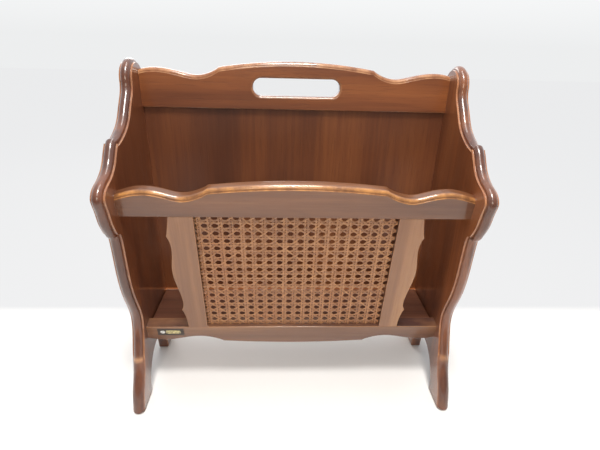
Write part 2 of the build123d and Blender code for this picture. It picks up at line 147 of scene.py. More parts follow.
# Lamps: one long panel and one small lamp above, a weak warm one in front, a soft one behind.
RACK_MIDDLE = (0.0, 0.0, 0.25)
FLOOR_IN_FRONT = (0.0, -0.45, 0.25)
soft_light("ceiling_panel", (0.0, -0.5, 1.65), FLOOR_IN_FRONT, 0.4, 1.7, 15.0, (1.0, 0.98, 0.95))
soft_light("ceiling_lamp", (0.02, -0.52, 1.6), RACK_MIDDLE, 0.32, 0.32, 15.0, (1.0, 0.97, 0.93))
soft_light("front_panel", (-0.05, -1.15, 0.75), RACK_MIDDLE, 0.4, 0.4, 4.0, (1.0, 0.88, 0.72))
soft_light("back_panel", (-0.4, 1.25, 1.0), RACK_MIDDLE, 0.8, 0.5, 6.0, (1.0, 0.97, 0.94))

# Floor: a plain white top, and no part of the rack. From about half a metre in front, its colour as
# the polish mirrors it is painted dark, a painted dim reflection. To the eye, beyond a line just behind
# the rack and far off, it glows one even white, standing for a pale wall and the far distance.
FLOOR_REACH = 6.0
PAINTED_DARK_FROM_Y = (-0.5, -0.8)
WALL_STARTS_Y = (0.135, 0.17)
FAR_OFF = (1.1, 2.4)
WALL_SHARE = 0.94
FLOOR_WHITE = (0.9, 0.895, 0.885)
PAINTED_DARK_REFLECTION = (0.12, 0.1, 0.09)


def blend_colour(tree, amount, first, second):
    """First where amount is 0 and second where it is 1. Colours are tuples or sockets."""
    node = tree.nodes.new("ShaderNodeMix")
    node.data_type = "RGBA"
    tree.links.new(amount, node.inputs["Factor"])
    for socket, given in ((node.inputs[6], first), (node.inputs[7], second)):
        if isinstance(given, tuple):
            socket.default_value = (*given, 1.0)
        else:
            tree.links.new(given, socket)
    return node.outputs[2]


def new_finish(name):
    """A new material, its node tree, its shader, and the place on the piece as a socket."""
    material = bpy.data.materials.new(name)
    material.use_nodes = True
    tree = material.node_tree
    place = tree.nodes.new("ShaderNodeTexCoord").outputs["Object"]
    return material, tree, tree.nodes["Principled BSDF"], place


floor_mesh = bpy.data.meshes.new("floor")
floor_corners = np.array([[-1, -1, 0], [1, -1, 0], [1, 1, 0], [-1, 1, 0]]) * FLOOR_REACH
floor_mesh.from_pydata(floor_corners, [], [(0, 1, 2, 3)])
floor = bpy.data.objects.new("floor", floor_mesh)
scene.collection.objects.link(floor)

floor_paint, floor_tree, floor_shader, floor_place = new_finish("white_floor")
floor_axes = floor_tree.nodes.new("ShaderNodeSeparateXYZ")
floor_tree.links.new(floor_place, floor_axes.inputs["Vector"])
floor_light = floor_tree.nodes.new("ShaderNodeLightPath").outputs
# Painted reflection: in front of the rack the floor's colour for mirrored rays is painted dark.
beyond = span(floor_tree, floor_axes.outputs["Y"], *PAINTED_DARK_FROM_Y, 0.0, 0.8)
mirrored = combine(floor_tree, "MULTIPLY", beyond, floor_light["Is Glossy Ray"])
floor_tone = blend_colour(floor_tree, mirrored, FLOOR_WHITE, PAINTED_DARK_REFLECTION)
floor_tree.links.new(floor_tone, floor_shader.inputs["Base Color"])
floor_shader.inputs["Roughness"].default_value = 0.55
how_far = floor_tree.nodes.new("ShaderNodeVectorMath")
how_far.operation = "LENGTH"
floor_tree.links.new(floor_place, how_far.inputs[0])
wall = span(floor_tree, floor_axes.outputs["Y"], *WALL_STARTS_Y, 0.0, WALL_SHARE)
far_off = span(floor_tree, how_far.outputs["Value"], *FAR_OFF, 0.0, WALL_SHARE)
white_out = combine(floor_tree, "MAXIMUM", wall, far_off)
wall_white = floor_tree.nodes.new("ShaderNodeEmission")
wall_white.inputs["Color"].default_value = (0.985, 0.99, 1.0, 1)
wall_white.inputs["Strength"].default_value = 0.86
floor_mix = floor_tree.nodes.new("ShaderNodeMixShader")
to_the_eye = combine(floor_tree, "MULTIPLY", white_out, floor_light["Is Camera Ray"])
floor_tree.links.new(to_the_eye, floor_mix.inputs["Fac"])
floor_tree.links.new(floor_shader.outputs["BSDF"], floor_mix.inputs[1])
floor_tree.links.new(wall_white.outputs["Emission"], floor_mix.inputs[2])
floor_tree.links.new(floor_mix.outputs["Shader"], floor_tree.nodes["Material Output"].inputs["Surface"])
floor_mesh.materials.append(floor_paint)

# Side panels: two solid mahogany-stained boards, sawn to the same flowing outline with a
# double foot. Their front and top edges are spindle-moulded to a bull-nose between two small
# steps. The moulding stops above each front foot, and there the stain is rubbed pale.
PANEL_LOW, PANEL_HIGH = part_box("side_panel_right")
PANEL_THICKNESS = PANEL_HIGH.x - PANEL_LOW.x
BACK_Y = PANEL_HIGH.y
SOLE_Z = PANEL_LOW.z
CROWN_CENTRE = np.array([66, 419]) * MM
CROWN_RADIUS = 27 * MM
NECK = np.array([[39, 419], [27.5, 399], [12.2, 380.4], [-6, 369.2], [-28.4, 362.4]]) * MM
NOSE = np.array([[-29.8, 364.8], [-39.8, 355.4], [-50.9, 341.7], [-66, 332.5], [-83, 325.5],
                 [-91.8, 313.5], [-88.2, 298], [-83.4, 280.4], [-77.5, 268.5], [-69.6, 259.2]]) * MM
LEG = np.array([[-66.2, 258.6], [-64, 246.5], [-62, 212], [-52.2, 161.9], [-40.5, 124],
                [-46.4, 97.1], [-54.6, 74], [-63, 50], [-73, 32], [-79.6, 14], [-82.5, 2]]) * MM
ARCH_CENTRE_Y = 6.5 * MM
ARCH_HALF_WIDTH = 46.5 * MM
ARCH_HEIGHT = 53 * MM
HEEL_Y = ARCH_CENTRE_Y - ARCH_HALF_WIDTH
MOULDING_WIDTH = 5.2 * MM
MOULDING_STEP = 2.2 * MM
EASED_EDGE = 2.2 * MM
FOOT_ROUND = 5.8 * MM
FOOT_ROUND_STARTS = math.radians(20)
MOULDING_STOP = (69 * MM, 76 * MM)
HEEL_RADIUS = 4 * MM
TOE_WAY = (1.0, 0.36)
CROWDED_AT_THE_TOE = (-4, -3, -2)
CUTTER_REACH = 4.5 * MM
ROUND_DARKENING = 1.05
ARCH_PAINTED_SHADE = 1.2
ARCH_POINTS = 49
PALE_STOP_Z = 70 * MM
PALE_STOP_REACH = 4 * MM


def fair_curve(points, start, end, count):
    """Count points on the smooth line through points: cubic pieces in chord length whose slope
    and bend never jump, leaving along start and arriving along end."""
    points = np.asarray(points, float)
    chord = np.linalg.norm(np.diff(points, axis=0), axis=1)
    slope = np.diff(points, axis=0) / chord[:, None]
    last = len(points) - 1
    system = np.eye(last + 1)
    wanted = np.zeros_like(points)
    wanted[0] = np.divide(start, np.linalg.norm(start))
    wanted[last] = np.divide(end, np.linalg.norm(end))
    inner = np.arange(1, last)
    system[inner, inner - 1] = chord[1:]
    system[inner, inner] = 2 * (chord[:-1] + chord[1:])
    system[inner, inner + 1] = chord[:-1]
    wanted[inner] = 3 * (chord[1:, None] * slope[:-1] + chord[:-1, None] * slope[1:])
    tangent = np.linalg.solve(system, wanted)
    knot = np.concatenate([[0], np.cumsum(chord)])
    along = np.linspace(0, knot[-1], count)
    piece = np.clip(np.searchsorted(knot, along, side="right") - 1, 0, last - 1)
    t = ((along - knot[piece]) / chord[piece])[:, None]
    reach = chord[piece][:, None]
    return (
        (1 + 2 * t) * (1 - t) ** 2 * points[piece]
        + t * (1 - t) ** 2 * reach * tangent[piece]
        + t * t * (3 - 2 * t) * points[piece + 1]
        + t * t * (t - 1) * reach * tangent[piece + 1]
    )


def eased(value, low, high):
    """0 below low, 1 above high, and between them the smooth step 3t^2 - 2t^3."""
    t = np.clip((value - low) / (high - low), 0, 1)
    return t * t * (3 - 2 * t)


def inward(outline):
    """Mitre direction at each corner of a closed outline that runs anticlockwise: the inward
    normals of its two edges, added and divided by 1 plus their dot product, so that a move by
    d along it shifts both edges by d."""
    run = np.roll(outline, -1, axis=0) - outline
    run = run / np.linalg.norm(run, axis=1)[:, None]
    after = np.stack([-run[:, 1], run[:, 0]], axis=1)
    before = np.roll(after, 1, axis=0)
    return (after + before) / (1 + (after * before).sum(axis=1))[:, None]


def solid(name, points, faces, marks, crisp):
    """Mesh object of a closed shape, turned so that its faces look outwards. Marks are one number
    for each point, kept as named attributes. Edges that bend past crisp degrees are hard."""
    mesh = bpy.data.meshes.new(name)
    mesh.from_pydata(points.reshape(-1, 3), [], faces)
    shape = bmesh.new()
    shape.from_mesh(mesh)
    if shape.calc_volume(signed=True) < 0:
        bmesh.ops.reverse_faces(shape, faces=shape.faces[:])
    shape.to_mesh(mesh)
    shape.free()
    for mark, values in marks.items():
        layer = mesh.attributes.new(mark, "FLOAT", "POINT")
        spread = np.broadcast_to(values, points.shape[:-1])
        layer.data.foreach_set("value", spread.astype(np.float32).ravel())
    mesh.shade_smooth()
    mesh.set_sharp_from_angle(angle=math.radians(crisp))
    piece = bpy.data.objects.new(name, mesh)
    scene.collection.objects.link(piece)
    return piece


def strip(rows, columns, first=0):
    """Quads between neighbouring rows of points, each row a closed ring, from point first on."""
    row, column = np.meshgrid(np.arange(rows - 1), np.arange(columns), indexing="ij")
    after = (column + 1) % columns
    corners = [row * columns + column, row * columns + after]
    corners += [(row + 1) * columns + after, (row + 1) * columns + column]
    return (np.stack(corners, axis=-1).reshape(-1, 4) + first).tolist()


def skin(name, grid, marks, crisp=34.0):
    """Solid over a grid of points (row, column, xyz): each row is a closed ring, and the first
    and last rings are filled as flat ends."""
    rows, columns = grid.shape[:2]
    ends = [np.arange(columns)[::-1].tolist(), (np.arange(columns) + (rows - 1) * columns).tolist()]
    return solid(name, grid, strip(rows, columns) + ends, marks, crisp)


def shared_effect(name, inputs, outputs):
    """An empty shader node group. Inputs and outputs give each socket's name and kind. With the
    group come the sockets that its inner nodes read from and write to."""
    group = bpy.data.node_groups.new(name, "ShaderNodeTree")
    for in_out, sockets in (("INPUT", inputs), ("OUTPUT", outputs)):
        for label, kind in sockets.items():
            group.interface.new_socket(label, in_out=in_out, socket_type="NodeSocket" + kind)
    return group, group.nodes.new("NodeGroupInput").outputs, group.nodes.new("NodeGroupOutput").inputs


def noise(tree, vector, stretch, detail=3.0, rough=0.55):
    """Noise between about 0 and 1 on vector times stretch, in cycles per metre."""
    mapping = tree.nodes.new("ShaderNodeMapping")
    mapping.inputs["Scale"].default_value = stretch
    tree.links.new(vector, mapping.inputs["Vector"])
    texture = tree.nodes.new("ShaderNodeTexNoise")
    texture.inputs["Scale"].default_value = 1.0
    texture.inputs["Detail"].default_value = detail
    texture.inputs["Roughness"].default_value = rough
    tree.links.new(mapping.outputs["Vector"], texture.inputs["Vector"])
    return texture.outputs["Fac"]


# Grain: the fibre runs along Z of the vector. Broad bands of figure, fine streaks, short open
# pores and soft dark clouds are four noises, each drawn out along Z by its own amount.
wood_grain, grain_in, grain_out = shared_effect(
    "wood_grain",
    {"Vector": "Vector", "Light": "Color", "Middle": "Color", "Dark": "Color"},
    {"Color": "Color", "Height": "Float"},
)
bands = noise(wood_grain, grain_in["Vector"], (15, 15, 1.3), 4.0, 0.5)
streaks = noise(wood_grain, grain_in["Vector"], (170, 170, 4), 3.0, 0.6)
pores = noise(wood_grain, grain_in["Vector"], (950, 950, 34), 1.0)
cloud = noise(wood_grain, grain_in["Vector"], (8, 8, 4), 2.0)
broad = span(wood_grain, bands, 0.3, 0.7, 0, 0.76)
fine = span(wood_grain, streaks, 0.3, 0.7, 0, 0.24)
figure = combine(wood_grain, "ADD", broad, fine)
dashes = span(wood_grain, pores, 0.58, 0.68)
dark = grain_in["Dark"]
ground = blend_colour(wood_grain, span(wood_grain, figure, 0.12, 0.55), dark, grain_in["Middle"])
ground = blend_colour(wood_grain, span(wood_grain, figure, 0.5, 0.95), ground, grain_in["Light"])
ground = blend_colour(wood_grain, span(wood_grain, cloud, 0.46, 0.72, 0, 0.5), ground, dark)
ground = blend_colour(wood_grain, combine(wood_grain, "MULTIPLY", dashes, 0.3), ground, dark)
wood_grain.links.new(ground, grain_out["Color"])
relief = combine(wood_grain, "SUBTRACT", combine(wood_grain, "MULTIPLY", streaks, 0.35), dashes)
wood_grain.links.new(relief, grain_out["Height"])

# Wear and painted light: the stain is paler along every arris, in broken patches, both rubbed stain
# and a painted highlight. Painted shade darkens the quirks and other hollows, the arch and the rail ends,
# unevenly, and a darker tone lies over the rounds.
# Arris and Quirk say how much of each there is: 0 is none, and 1 is plenty.
wear_and_painted_shade, worn_in, worn_out = shared_effect(
    "wear_and_painted_shade",
    {"Color": "Color", "Vector": "Vector", "Arris": "Float", "Quirk": "Float", "Rubbed": "Color",
     "Shade_Tone": "Color"},
    {"Color": "Color"},
)
patches = noise(wear_and_painted_shade, worn_in["Vector"], (60, 60, 60), 4.0, 0.65)
patches = span(wear_and_painted_shade, patches, 0.36, 0.64, 0.15, 1.0)
uneven = noise(wear_and_painted_shade, worn_in["Vector"], (30, 30, 12), 3.0, 0.6)
uneven = span(wear_and_painted_shade, uneven, 0.38, 0.62, 0.3, 0.8)
rub = combine(wear_and_painted_shade, "MULTIPLY", worn_in["Arris"], patches)
# Painted shade, and the darker tone on the rounds, as much as Quirk asks for.
painted_shade_mask = combine(wear_and_painted_shade, "MULTIPLY", worn_in["Quirk"], uneven)
shaded_colour = blend_colour(wear_and_painted_shade, painted_shade_mask, worn_in["Color"], worn_in["Shade_Tone"])
wear_and_painted_shade.links.new(blend_colour(wear_and_painted_shade, rub, shaded_colour, worn_in["Rubbed"]), worn_out["Color"])

UPRIGHT = (0.0, 0.0, 0.0)
LENGTHWAYS = (0.0, math.pi / 2, 0.0)
MAHOGANY = ((0.36, 0.118, 0.03), (0.235, 0.066, 0.0165), (0.11, 0.027, 0.008))
# Pale rub on the arrises: worn stain and a painted highlight along the arris.
RUBBED_STAIN_AND_HIGHLIGHT = (0.56, 0.29, 0.14)
# Colour of the painted shade, and of the darker tone on the rounds.
DARK_TONE_AND_SHADE = (0.055, 0.02, 0.014)


def paint(tree, shader, colour, roughness):
    """The colour and roughness sockets take over the shader's own."""
    tree.links.new(colour, shader.inputs["Base Color"])
    tree.links.new(roughness, shader.inputs["Roughness"])


def raise_surface(tree, shader, height, strength, distance):
    """The surface is shaded as if it stood up by distance times height."""
    bump = tree.nodes.new("ShaderNodeBump")
    bump.inputs["Strength"].default_value = strength
    bump.inputs["Distance"].default_value = distance
    tree.links.new(height, bump.inputs["Height"])
    tree.links.new(bump.outputs["Normal"], shader.inputs["Normal"])


def polished_wood(name, fibre, shift, stain=MAHOGANY, coat=1.0, coat_rough=0.07, rough=(0.36, 0.5),
                  rubbed=RUBBED_STAIN_AND_HIGHLIGHT):
    """Stained and lacquered wood. Fibre turns the piece's own axes so that the grain lies along
    Z of the pattern, shift moves the pattern so that no two pieces match, and stain is the
    light, middle and dark colour of the grain."""
    material, tree, shader, place = new_finish(name)
    turned = tree.nodes.new("ShaderNodeMapping")
    turned.inputs["Rotation"].default_value = fibre
    turned.inputs["Location"].default_value = shift
    tree.links.new(place, turned.inputs["Vector"])
    grain = tree.nodes.new("ShaderNodeGroup")
    grain.node_tree = wood_grain
    tree.links.new(turned.outputs["Vector"], grain.inputs["Vector"])
    for label, colour in zip(("Light", "Middle", "Dark"), stain):
        grain.inputs[label].default_value = (*colour, 1.0)
    worn = tree.nodes.new("ShaderNodeGroup")
    worn.node_tree = wear_and_painted_shade
    worn.inputs["Rubbed"].default_value = (*rubbed, 1.0)
    worn.inputs["Shade_Tone"].default_value = (*DARK_TONE_AND_SHADE, 1.0)
    tree.links.new(grain.outputs["Color"], worn.inputs["Color"])
    tree.links.new(turned.outputs["Vector"], worn.inputs["Vector"])
    for label in ("Arris", "Quirk"):
        mark = tree.nodes.new("ShaderNodeAttribute")
        mark.attribute_name = label.lower()
        tree.links.new(mark.outputs["Fac"], worn.inputs[label])
    handled = noise(tree, turned.outputs["Vector"], (14, 14, 9), 4.0, 0.6)
    paint(tree, shader, worn.outputs["Color"], span(tree, handled, 0.35, 0.65, *rough))
    ripple = noise(tree, turned.outputs["Vector"], (70, 70, 22), 2.0)
    height = combine(tree, "ADD", grain.outputs["Height"], combine(tree, "MULTIPLY", ripple, 2.2))
    raise_surface(tree, shader, height, 0.35, 0.22 * MM)
    shader.inputs["Coat Weight"].default_value = coat
    shader.inputs["Coat Roughness"].default_value = coat_rough
    shader.inputs["IOR"].default_value = 1.48
    shader.inputs["Specular IOR Level"].default_value = 0.3
    return material


def panel_outline():
    """The panel's edge in (y, z), anticlockwise from the back of the crown: an arc over the
    crown, three fair curves down the front, the sole with its arch, and the straight back.
    With it, how fully the edge is moulded and how fully it is a rounded foot at each point,
    the places in the list of the shoulder and the notch, and that of the toe."""
    first_turn = math.acos((BACK_Y - CROWN_CENTRE[0]) / CROWN_RADIUS)
    turn = np.linspace(first_turn, math.pi, 60)
    crown = CROWN_CENTRE + CROWN_RADIUS * np.stack([np.cos(turn), np.sin(turn)], axis=1)
    neck = fair_curve(NECK, (0, -1), (-1, -0.12), 45)
    nose = fair_curve(NOSE, (-1, -0.5), (1, -0.5), 86)
    leg = np.delete(fair_curve(LEG, (0.35, -1), (-0.25, -1), 192), CROWDED_AT_THE_TOE, axis=0)
    swing = np.linspace(math.pi, 0, ARCH_POINTS)
    arch = np.stack([ARCH_CENTRE_Y + ARCH_HALF_WIDTH * np.cos(swing),
                     SOLE_Z + ARCH_HEIGHT * np.sin(swing)], axis=1)
    corner = np.linspace(-math.pi / 2, 0, 7)
    heel = HEEL_RADIUS * np.stack([np.cos(corner) - 1, np.sin(corner) + 1], axis=1) + (BACK_Y, SOLE_Z)
    outline = np.concatenate([crown[:-1], neck, nose, leg, arch, heel])
    moulded = np.zeros(len(outline))
    shoulder = len(crown) - 1 + len(neck)
    notch = shoulder + len(nose)
    toe = notch + len(leg) - 1
    moulded[:notch] = 1
    over_crown = CROWN_RADIUS * (turn[:-1] - turn[0])
    moulded[:len(over_crown)] = eased(over_crown, -1 * MM, 4 * MM)
    moulded[notch:toe + 1] = eased(leg[:, 1], *MOULDING_STOP)
    foot = np.zeros(len(outline))
    foot[notch:toe + 1] = 1 - moulded[notch:toe + 1]
    return outline, moulded, foot, (shoulder, notch), toe


def moulded_section():
    """Half the moulded edge from face to middle, as (inset, depth, arris, quirk): a guard on the
    face, a small step straight in, then the quarter ellipse inset = width (1 - sin t),
    depth = half - (half - step) cos t."""
    half = PANEL_THICKNESS / 2
    t = np.linspace(0, math.pi / 2, 12)
    round_in = MOULDING_WIDTH * (1 - np.sin(t))
    round_deep = half - (half - MOULDING_STEP) * np.cos(t)
    inset = np.concatenate([MOULDING_WIDTH + np.array([1.2, 0.5, 0.2, 0.15]) * MM, round_in])
    depth = np.concatenate([[0, 0, 0.25 * MM, MOULDING_STEP - 0.15 * MM], round_deep])
    arris = np.concatenate([[0, 0.2, 0.5, 0.3], np.zeros(12)])
    # Quirk: painted shade in the concave corner at the foot of the step, then a darker tone over the
    # round.
    quirk = np.concatenate([[0, 0, 0, 0.2, 1.1, 1.0, 0.8], np.full(9, ROUND_DARKENING)])
    return np.stack([inset, depth, arris, quirk], axis=1)


def foot_section():
    """Half the bull-nosed front of a foot with the same number of points: the part of a quarter
    ellipse from 20 degrees on, so that a soft arris is left on the face."""
    half = PANEL_THICKNESS / 2
    t = np.linspace(FOOT_ROUND_STARTS, math.pi / 2, 14)
    inset = FOOT_ROUND * (1 - np.sin(t)) / (1 - math.sin(t[0]))
    depth = half * (math.cos(t[0]) - np.cos(t)) / math.cos(t[0])
    guard = FOOT_ROUND + np.array([1.2, 0.4]) * MM
    arris = np.concatenate([[0, 0.5, 0.8, 0.3], np.zeros(12)])
    inset = np.concatenate([guard, inset])
    depth = np.concatenate([[0, 0], depth])
    return np.stack([inset, depth, arris, ROUND_DARKENING * eased(depth, 0, 2 * MM)], axis=1)


def plain_section():
    """Half the unmoulded edge with the same number of points: a quarter round, then square."""
    half = PANEL_THICKNESS / 2
    t = np.linspace(0, math.pi / 2, 10)
    inset = np.concatenate([[EASED_EDGE + 0.6 * MM], EASED_EDGE * (1 - np.sin(t)), np.zeros(5)])
    flat = np.array([0.08, 0.3, 0.55, 0.78, 1.0])
    depth = np.concatenate([[0], EASED_EDGE * (1 - np.cos(t)), EASED_EDGE + (half - EASED_EDGE) * flat])
    arris = np.concatenate([[0], 0.45 * np.sin(2 * t), np.zeros(5)])
    return np.stack([inset, depth, arris, np.zeros(16)], axis=1)


def inset_ways(outline, corners, toe):
    """Where each point moves as the edge is inset: its mitre direction, averaged over a few
    millimetres about each sharp corner, where a round cutter cannot follow the outline, with
    bell weights exp(-(distance / reach)^2), and set nearly level at the toe."""
    sharp = inward(outline)
    ways = sharp.copy()
    step = np.linalg.norm(np.diff(outline, axis=0), axis=1)
    along = np.concatenate([[0], np.cumsum(step)])
    for corner in corners:
        near = np.abs(along - along[corner]) < 13 * MM
        apart = along[near][:, None] - along[near][None]
        weight = np.exp(-((apart / CUTTER_REACH) ** 2)) * np.gradient(along[near])[None]
        mean = weight @ sharp[near] / weight.sum(axis=1)[:, None]
        share = eased(10 * MM - np.abs(along[near] - along[corner]), 0, 5 * MM)[:, None]
        ways[near] = sharp[near] * (1 - share) + mean * share
    ways[toe] = TOE_WAY
    return ways


def near_the_stop(outline):
    """How near each point is to the moulding's stop, where the stain is rubbed pale: the bell
    exp(-((z - stop) / reach)^2) down the front, and nothing behind."""
    front = outline[:, 0] < HEEL_Y
    return front * np.exp(-(((outline[:, 1] - PALE_STOP_Z) / PALE_STOP_REACH) ** 2))


def side_panel(name, side):
    """Each ring is the outline moved in by that step of the section, which is blended along the
    edge from the moulded, the foot's and the plain one. Side is 1 on the right."""
    outline, moulded, foot, corners, toe = panel_outline()
    shares = ((moulded_section(), moulded), (foot_section(), foot), (plain_section(), 1 - moulded - foot))
    half_section = sum(section[:, None] * share[None, :, None] for section, share in shares)
    on_the_round = eased(half_section[:, :, 1], 0.5 * MM, 3 * MM)
    half_section[:, :, 2] += 0.8 * near_the_stop(outline) * on_the_round
    # Painted shade on the inside of the arch between the feet.
    half_section[:, toe + 1:toe + 1 + ARCH_POINTS, 3] += ARCH_PAINTED_SHADE
    mirrored = half_section[-2::-1].copy()
    mirrored[:, :, 1] = PANEL_THICKNESS - mirrored[:, :, 1]
    section = np.concatenate([half_section, mirrored])
    edge = outline[None] + section[:, :, :1] * inset_ways(outline, corners, toe)[None]
    across = side * (PANEL_HIGH.x - section[:, :, 1])
    grid = np.concatenate([across[:, :, None], edge], axis=2)
    return skin(name, grid, {"arris": section[:, :, 2], "quirk": section[:, :, 3]}, crisp=18.0)


PANEL_STAIN = ((0.36, 0.128, 0.045), (0.255, 0.082, 0.03), (0.15, 0.045, 0.018))
for side_name, side, shift in (("left", -1, (0.31, 0.12, 0.44)), ("right", 1, (0.05, 0.43, 0.09))):
    panel = side_panel("moulded_side_panel_" + side_name, side)
    stain_name = "panel_mahogany_" + side_name
    panel.data.materials.append(polished_wood(stain_name, UPRIGHT, shift, PANEL_STAIN, coat_rough=0.1))
    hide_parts("side_panel_" + side_name)
    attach(panel, "root")

# Handle rail: the crowned top board of the back, glued and dowelled between the side panels.
# Its top edge is rounded over behind a fine ledge, and the hand slot is rounded inside.
RAIL_LOW, RAIL_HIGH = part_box("handle_rail")
RAIL_SHOULDER = np.array([[101, 437], [113, 430.4], [131, 426.8], [150, 429.9], [177, 434.7],
                          [203, 432]]) * MM
SHOULDER_START = (1, -0.75)
SHOULDER_END = (1, -0.35)
EDGE_STEPS = 45
SLOT_HALF_LENGTH = 57.5 * MM
SLOT_RADIUS = 11.2 * MM
SLOT_Z = 413.5 * MM
TOP_ROUND = 5 * MM
BOTTOM_ROUND = 1.2 * MM
SLOT_ROUND = 3 * MM


def crowned_edge(top, shoulder):
    """Points (x, height) along a crowned edge from left to right: a shallow arc from corner to
    corner through top, of radius (half chord^2 + rise^2) / (2 rise), and a fair curve out to
    each end, the left one a mirror image."""
    corner_x, corner_z = shoulder[0]
    rise = top - corner_z
    radius = (corner_x**2 + rise**2) / (2 * rise)
    x = np.linspace(-corner_x, corner_x, EDGE_STEPS)
    crown = np.stack([x, top - radius + math.copysign(1, radius) * np.sqrt(radius**2 - x**2)], axis=1)
    right = fair_curve(shoulder, SHOULDER_START, SHOULDER_END, EDGE_STEPS)
    left = right[::-1] * (-1, 1)
    return np.concatenate([left[:-1], crown, right[1:]])


def rounded_arris(drop, reach, ledge=0.0, wear=0.0):
    """Path over one long edge from face to top, as (drop below the top, depth, arris, quirk): a
    quarter ellipse drop tall and reach deep, set in by ledge where it leaves the face. Wear is
    how far the stain on the round is rubbed."""
    t = np.linspace(0, math.pi / 2, 9)
    depth = ledge + (reach - ledge) * (1 - np.cos(t))
    curve = np.stack([drop * (1 - np.sin(t)), depth, 0.4 * np.sin(2 * t), 0 * t], axis=1)
    start = np.zeros((3, 4))
    start[:, 0] = drop + np.array([1.0, 0.6, 0.3]) * MM
    if ledge:
        start[1:, 0] = drop + np.array([0.3, 0.15]) * MM
        start[2, 1] = 0.12 * MM
        start[1:, 2] = (0.6, 1)
        curve[:, 2] = wear * np.sin(2 * t)
        curve[0, 2] = 0.8
        # Painted shade in the concave corner under the ledge.
        curve[:3, 3] = (0.3, 0.2, 0.1)
    return np.concatenate([start, curve, [[0, reach + 0.6 * MM, 0, 0]]])


def over_the_edge(front, back, thickness):
    """The path over the front arris, then back down over the rear one."""
    rear = back[::-1].copy()
    rear[:, 1] = thickness - rear[:, 1]
    return np.concatenate([front, rear])


def rounded_both(radius, thickness):
    """The path over an edge with both arrises rounded alike."""
    return over_the_edge(rounded_arris(radius, radius), rounded_arris(radius, radius), thickness)


def handle_board():
    """Two skins and four flat faces. One skin runs right to left along the top edge and back
    along the bottom, the other round the slot, both from front to back. Each broad face is
    filled in two parts, above and below the slot."""
    thickness = RAIL_HIGH.y - RAIL_LOW.y
    top = crowned_edge(RAIL_HIGH.z, RAIL_SHOULDER)[::-1]
    bottom = np.array([[-RAIL_HIGH.x, RAIL_LOW.z], [RAIL_HIGH.x, RAIL_LOW.z]])
    outer = np.concatenate([top, bottom])
    inwards = np.repeat([-1.0, 1.0], [len(top), len(bottom)])
    stepped = rounded_arris(TOP_ROUND, TOP_ROUND, 0.4 * MM, 0.75)
    top_path = over_the_edge(stepped, rounded_arris(TOP_ROUND, TOP_ROUND), thickness)
    bottom_path = rounded_both(BOTTOM_ROUND, thickness)
    path = np.where(inwards[:, None, None] < 0, top_path[None], bottom_path[None]).transpose(1, 0, 2)
    x = np.broadcast_to(outer[:, 0], path.shape[:2])
    over = np.stack([x, RAIL_LOW.y + path[..., 1], outer[:, 1] + inwards * path[..., 0]], axis=2)

    straight = SLOT_HALF_LENGTH - SLOT_RADIUS
    turn = np.linspace(0, math.pi, 33)
    right_end = np.stack([np.sin(turn), np.cos(turn)], axis=1)
    outward = np.concatenate([right_end, -right_end])
    centre = np.repeat([[straight, 0.0], [-straight, 0.0]], len(turn), axis=0)
    slot_path = rounded_both(SLOT_ROUND, thickness)
    edge = centre + outward * (SLOT_RADIUS + slot_path[:, None, :1])
    depth = np.broadcast_to(RAIL_LOW.y + slot_path[:, None, 1], edge.shape[:2])
    through = np.stack([edge[..., 0], depth, SLOT_Z + edge[..., 1]], axis=2)

    def broad_faces(outer_ring, slot_ring):
        """Faces above and below the slot from the two rings: outer is the top from right to
        left, then the two bottom corners; slot is the right end from its top, then the left."""
        half = len(turn) // 2
        bottom_left, bottom_right = outer_ring[-2:]
        upper_slot = slot_ring[len(turn) + half:] + slot_ring[:half + 1]
        lower_slot = slot_ring[half:len(turn) + half + 1]
        above = outer_ring[:-2] + [bottom_left] + upper_slot + [bottom_right]
        return [above, [bottom_left, bottom_right] + lower_slot]

    rows, columns = over.shape[:2]
    first = rows * columns
    around = len(outward)
    last_slot = first + (len(slot_path) - 1) * around
    front = broad_faces(list(range(columns)), list(range(first, first + around)))
    back = broad_faces(list(range(first - columns, first)), list(range(last_slot, last_slot + around)))
    faces = [face[::-1] for face in strip(rows, columns)] + strip(len(slot_path), around, first)
    faces += front + [face[::-1] for face in back]
    points = np.concatenate([over.reshape(-1, 3), through.reshape(-1, 3)])
    arris = np.concatenate([path[..., 2].ravel(), np.repeat(slot_path[:, 2], around)])
    quirk = np.concatenate([path[..., 3].ravel(), np.repeat(slot_path[:, 3], around)])
    return solid("handle_board", points, faces, {"arris": arris, "quirk": quirk}, 34.0)


handle = handle_board()
HANDLE_STAIN = ((0.31, 0.102, 0.028), (0.2, 0.058, 0.0165), (0.085, 0.023, 0.008))
handle_wood = polished_wood("handle_mahogany", LENGTHWAYS, (0.2, 0.5, 0.3), HANDLE_STAIN)
handle.data.materials.append(handle_wood)
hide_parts("handle_rail")
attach(handle, "root")

# Back: a thin stained plywood sheet in grooves, standing on a plain lower rail that is
# dowelled between the side panels.
# The back's colour is darker than the rest: partly its own stain, partly painted shade of the pocket.
BACK_STAIN_AND_SHADE = ((0.215, 0.069, 0.02), (0.142, 0.042, 0.0135), (0.08, 0.024, 0.01))
panel_ply = polished_wood("back_plywood", UPRIGHT, (0.27, 0.45, 0.3), BACK_STAIN_AND_SHADE, coat=0.35,
                          coat_rough=0.25, rough=(0.42, 0.55))


def finish_frame_node(node, material):
    """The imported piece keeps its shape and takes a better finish."""
    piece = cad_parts[node]
    if not piece.material_slots:
        piece.data.materials.append(material)
    for slot in piece.material_slots:
        slot.material = material


finish_frame_node("back_panel", panel_ply)

LOWER_RAIL_EASE = 1.5 * MM
END_EASE = 0.3 * MM


